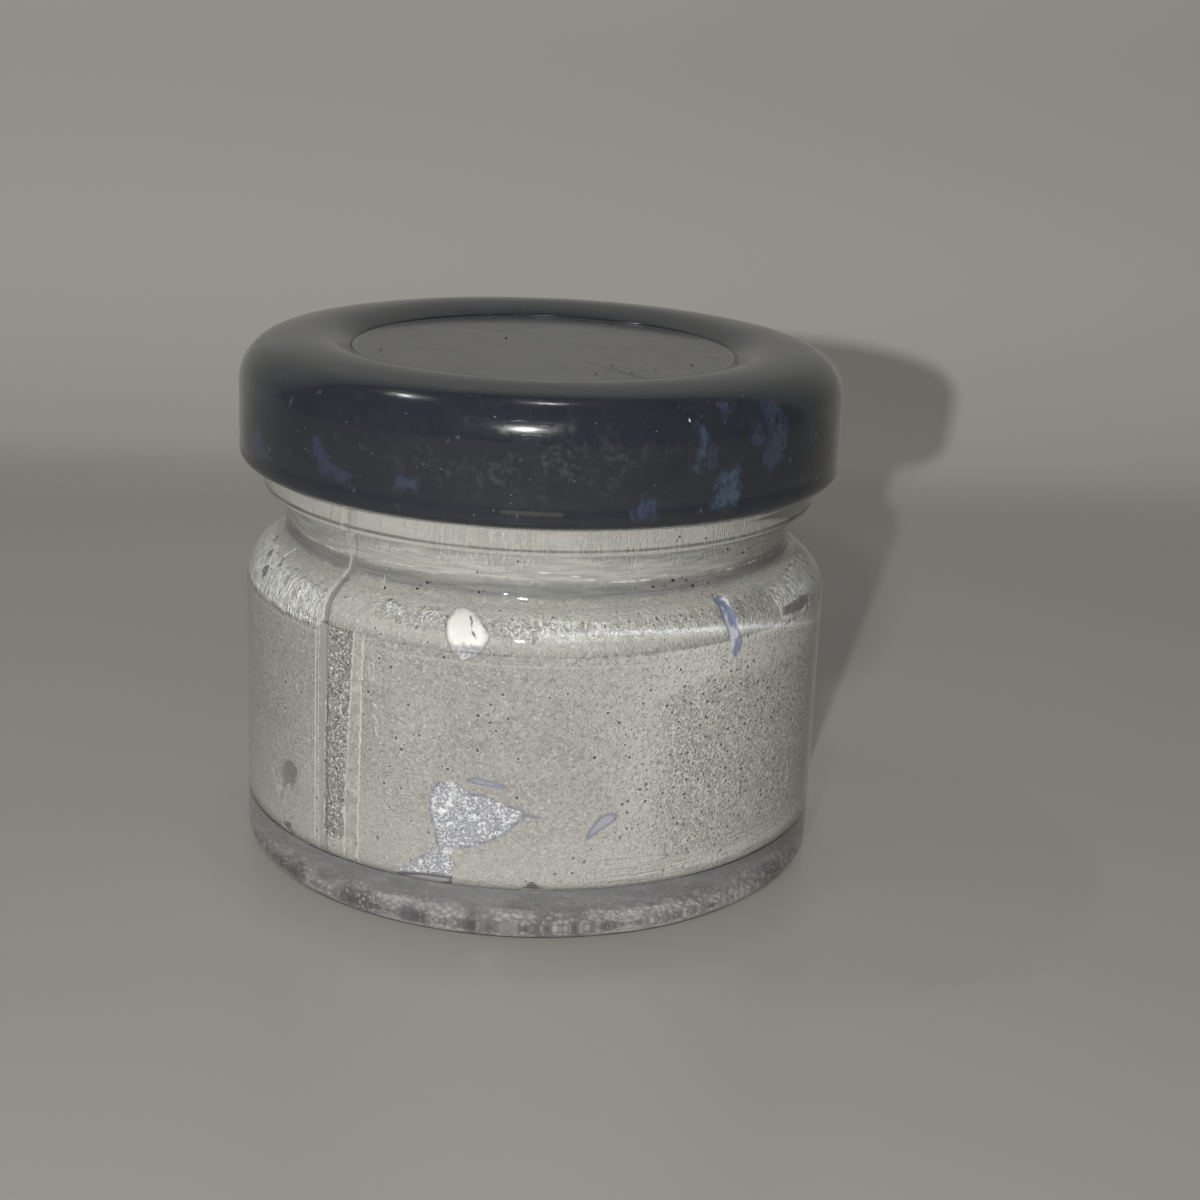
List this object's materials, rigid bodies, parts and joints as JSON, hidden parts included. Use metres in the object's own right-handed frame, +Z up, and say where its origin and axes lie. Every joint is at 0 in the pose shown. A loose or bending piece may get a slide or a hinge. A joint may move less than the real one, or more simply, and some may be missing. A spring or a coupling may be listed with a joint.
{
  "type": "paint jar",
  "caption": "Small squat glass jar of dried paint with a rounded shoulder, thick clear base and black twist-off lug lid.",
  "frame": {"origin": "centre of the circle that the jar stands on, at the lowest point of the glass", "axes": "+Z up along the axis of the jar and the lid; the jar is round about it, and -Y is the side that faces the viewer"},
  "size_m": [0.046, 0.046, 0.04],
  "materials": {
    "clear_glass": "clear, fire polished, slightly wavy",
    "paint": "dried warm grey-white paint, finely pitted against the glass",
    "paint_film": "dried paint coat, cracked and streaked",
    "black_lacquer": "gloss black lacquer on tinplate, lightly scuffed, with dried paint smears",
    "sealing_compound": "matte off-white compound"
  },
  "bodies": {
    "jar": {"glass_jar": "clear_glass", "paint_fill": "paint", "paint_wall_film": "paint_film"},
    "liner": {"lid_gasket": "sealing_compound"},
    "lid": {"lid_shell": "black_lacquer"}
  },
  "joints": [
    {"name": "lid_rise", "type": "slide", "parent": "jar", "child": "liner", "axis": [0, 0, 1], "range_m": [0, 0.0125]},
    {"name": "lid_twist", "type": "hinge", "parent": "liner", "child": "lid", "pos_m": [0, 0, 0.035], "axis": [0, 0, 1], "range_deg": [0, 360]}
  ],
  "couplings": [
    {"joint": "lid_rise", "follows": "lid_twist", "m_per_rad": 0.0019735}
  ]
}
